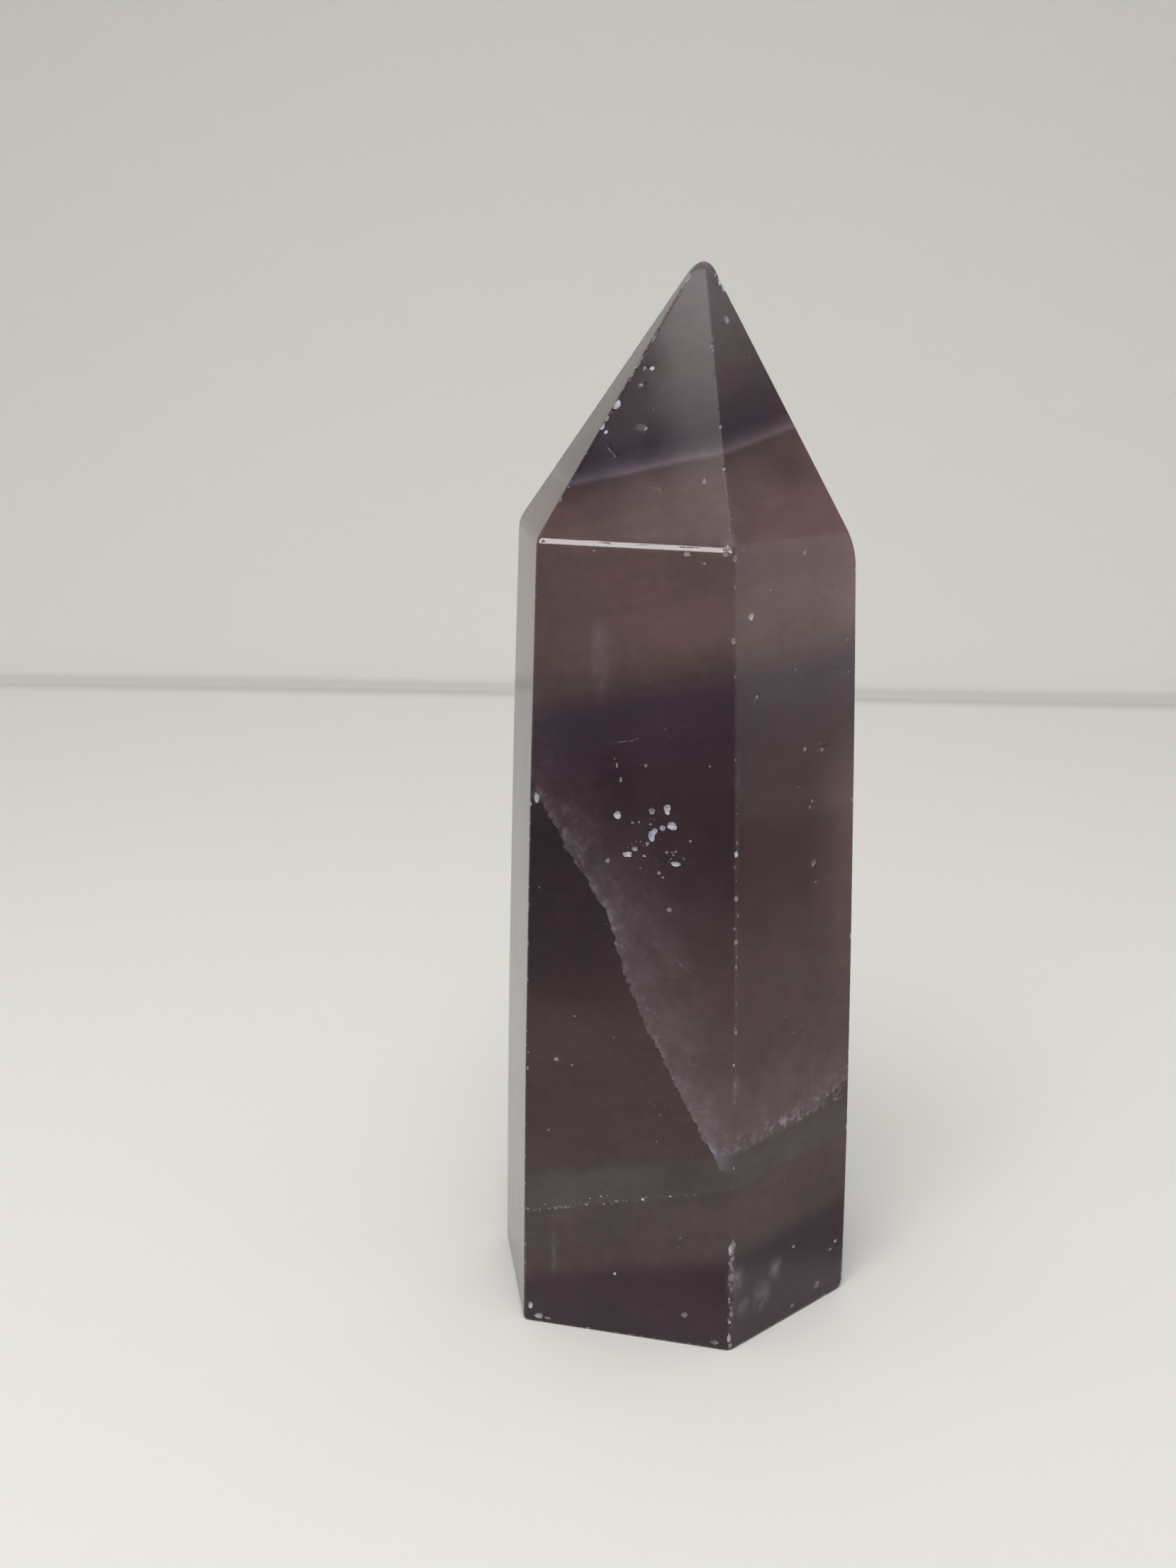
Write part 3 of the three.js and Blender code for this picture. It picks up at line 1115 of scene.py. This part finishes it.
# Its holes: how coarse they are, the noise below which one opens, how much that
# rises with each millimetre towards the back, and the y from which it is counted.
HOLE_SIZE = 2.2
HOLE_NOISE = -0.35
HOLE_GROWTH = 0.09
HOLE_START_Y = -8


def crack_axes():
    """Two directions in the crack's plane: inwards from the front, and down it."""
    inwards = (Vector((0, 1, 0)) - CRACK_NORMAL * CRACK_NORMAL.y).normalized()
    return inwards, CRACK_NORMAL.cross(inwards)


def healed_crack(surface):
    """A ragged, slightly rumpled sheet sealed inside the stone."""
    inwards, down = crack_axes()
    start = CRACK_NORMAL * CRACK_DISTANCE
    mesh = bmesh.new()
    grid = {}
    lowest, highest = [height * MM for height in CRACK_HEIGHTS]
    steps = int(2 * CRACK_SPAN / CRACK_STEP)
    for i in range(steps):
        for k in range(steps):
            u, v = i * CRACK_STEP - CRACK_SPAN, k * CRACK_STEP - CRACK_SPAN
            place = start + inwards * u + down * v
            rumple = CRACK_RUMPLE * noise.fractal(place / CRACK_RUMPLE_SIZE, 0.8, 2.0, 3)
            bow = np.interp(place.z, *zip(*CRACK_BOW))
            place = (place + CRACK_NORMAL * float(bow + rumple)) * MM
            nearest, normal = surface.snap(place)
            inside = (nearest - place).dot(normal) / MM > CRACK_INSET
            open_below = HOLE_NOISE + HOLE_GROWTH * (place.y / MM - HOLE_START_Y)
            closed = noise.noise(place / (HOLE_SIZE * MM)) > open_below
            if inside and closed and lowest < place.z < highest:
                grid[i, k] = mesh.verts.new(place)
    for i, k in list(grid):
        around = [(i, k), (i + 1, k), (i + 1, k + 1), (i, k + 1)]
        if all(at in grid for at in around):
            mesh.faces.new([grid[at] for at in around])
    bmesh.ops.delete(mesh, geom=[v for v in mesh.verts if not v.link_faces], context="VERTS")
    data = mesh_of("healed_crack", mesh)
    data.materials.append(crack_milk())
    data.shade_smooth()
    sheet = add_object("healed_crack", data)
    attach(sheet, "root")


# ------------------------------------------------------- studio and the camera


def tent_profile():
    """Outward and upward places along the tent, from where its floor turns up to
    its rim."""
    points = []
    for k in range(FOOT_STEPS + 1):
        turn = math.radians(90 * k / FOOT_STEPS)
        out = TENT_REACH - TENT_FOOT_RADIUS * (1 - math.sin(turn))
        points.append((out, TENT_FOOT_RADIUS * (1 - math.cos(turn))))
    points.append((TENT_REACH, TENT_HEIGHT))
    return points


def light_tent():
    """Floor and walls in one surface, square with rounded corners seen from above."""
    mesh = bmesh.new()
    middle = mesh.verts.new((0, 0, 0))
    rings = []
    for out, up in tent_profile():
        ring = []
        for k in range(TENT_SIDES):
            turn = 2 * math.pi * k / TENT_SIDES
            x, y = math.cos(turn), math.sin(turn)
            powers = abs(x) ** TENT_SQUARENESS + abs(y) ** TENT_SQUARENESS
            square = powers ** (1 / TENT_SQUARENESS)
            ring.append(mesh.verts.new(metres(out * x / square, out * y / square, up)))
        rings.append(ring)
    for k in range(TENT_SIDES):
        after = (k + 1) % TENT_SIDES
        mesh.faces.new((middle, rings[0][k], rings[0][after]))
        for low, high in zip(rings, rings[1:]):
            wall = mesh.faces.new((low[k], high[k], high[after], low[after]))
            wall.material_index = 1
    data = mesh_of("light_tent", mesh)
    data.materials.append(floor_paper())
    data.materials.append(wall_paper())
    data.shade_smooth()
    tent = add_object("light_tent", data)
    tent.rotation_euler.z = math.radians(TENT_TURN)


SKY_COLOUR = (0.98, 0.99, 1.0, 1)
SKY_STRENGTH = 0.765
# The lamp over the tent: place, what it faces, size, watts and colour.
OVERHEAD = ((0, -150, 280), (10, -30, 0), (180, 160), 0.48, (1.0, 0.99, 0.97))
CARD_COLOUR = (1, 0.985, 0.96, 1)
# Cards that only the polish reflects: name, place, what it faces, size, radiance
# and the widths of its soft edges.
CARDS = (
    ("window", (-37, -159, 110), (-2, -11, 61), (90, 54), 15, (3, 3)),
    ("ceiling_panel", (8, -122, 270), (8, -122, 0), (128, 150), 2.6, (11, 50)),
    ("dim_ceiling", (-115, -165, 269), (-115, -165, 0), (110, 170), 0.42, (16, 16)),
    ("dim_floor", (-20, -50, 0.5), (-20, -50, 90), (150, 76), 0.38, (9, 9)),
    ("dim_right_floor", (86, 12, 0.5), (86, 12, 90), (144, 78), 0.34, (7, 10)),
    ("camera_side", (-40, -75, 20), (-40, 0, 20), (170, 80), 0.15, (22, 22)),
    ("bright_side", (160, 25, 70), (0, 25, 70), (150, 120), 1.0, (22, 20)),
)


def area_light(name, place, aim, size, watts, colour):
    data = bpy.data.lights.new(name, "AREA")
    data.shape = "RECTANGLE"
    data.size, data.size_y = size[0] * MM, size[1] * MM
    data.energy = watts
    data.color = colour
    lamp = add_object(name, data)
    lamp.location = metres(*place)
    towards = metres(*aim) - lamp.location
    lamp.rotation_euler = towards.to_track_quat("-Z", "Y").to_euler()
    lamp.visible_camera = False
    return lamp


def soft_card(name, place, aim, size, radiance, fades):
    """A card with soft edges that only the stone's polish reflects. A dim one
    hides brighter things behind it, as the dark room behind a camera does."""
    shader = Shader(name)
    glow = shader.add("Emission", {"Color": CARD_COLOUR, "Strength": radiance})
    clear = shader.add("BsdfTransparent")
    offset = shader.add("SeparateXYZ", {0: shader.place()})
    cover = 1.0
    for side, half, fade in zip(("X", "Y"), (size[0] / 2, size[1] / 2), fades):
        away = shader.math("ABSOLUTE", offset.outputs[side])
        cover = shader.product(shader.spread(away, half - fade, half, 1.0, 0.0), cover)
    blend = shader.add("MixShader", {0: cover, 1: clear.outputs[0], 2: glow.outputs[0]})
    half_x, half_y = size[0] / 2 * MM, size[1] / 2 * MM
    signs = ((-1, -1), (1, -1), (1, 1), (-1, 1))
    corners = [(across * half_x, up * half_y, 0) for across, up in signs]
    data = bpy.data.meshes.new(name)
    data.from_pydata(corners, [], [(0, 1, 2, 3)])
    data.materials.append(shader.finished(blend))
    card = add_object(name, data)
    card.location = metres(*place)
    towards = metres(*aim) - card.location
    card.rotation_euler = towards.to_track_quat("Z", "Y").to_euler()
    for ray in ("camera", "diffuse", "transmission", "volume_scatter", "shadow"):
        setattr(card, "visible_" + ray, False)


def studio_light():
    world = bpy.data.worlds.new("soft_sky")
    world.use_nodes = True
    sky = world.node_tree.nodes["Background"]
    sky.inputs["Color"].default_value = SKY_COLOUR
    sky.inputs["Strength"].default_value = SKY_STRENGTH
    bpy.context.scene.world = world
    overhead = area_light("overhead", *OVERHEAD)
    overhead.visible_glossy = False
    for settings in CARDS:
        soft_card(*settings)


def camera():
    data = bpy.data.cameras.new("camera")
    data.sensor_width = SENSOR
    data.lens = FOCAL_PX / PHOTO_HEIGHT_PX * SENSOR
    data.clip_start = CLIP_START * MM
    made = add_object("camera", data)
    yaw = Matrix.Rotation(math.radians(CAMERA_YAW), 4, "Z")
    pitch = Matrix.Rotation(math.radians(90 - CAMERA_PITCH), 4, "X")
    roll = Matrix.Rotation(math.radians(CAMERA_ROLL), 4, "Z")
    made.matrix_world = Matrix.Translation(metres(*CAMERA_PLACE)) @ yaw @ pitch @ roll
    bpy.context.scene.camera = made


camera()
studio_light()
light_tent()
packed = PackedSurface()
polished_tower(packed)
healed_crack(packed)
bpy.context.scene.view_settings.view_transform = "Standard"
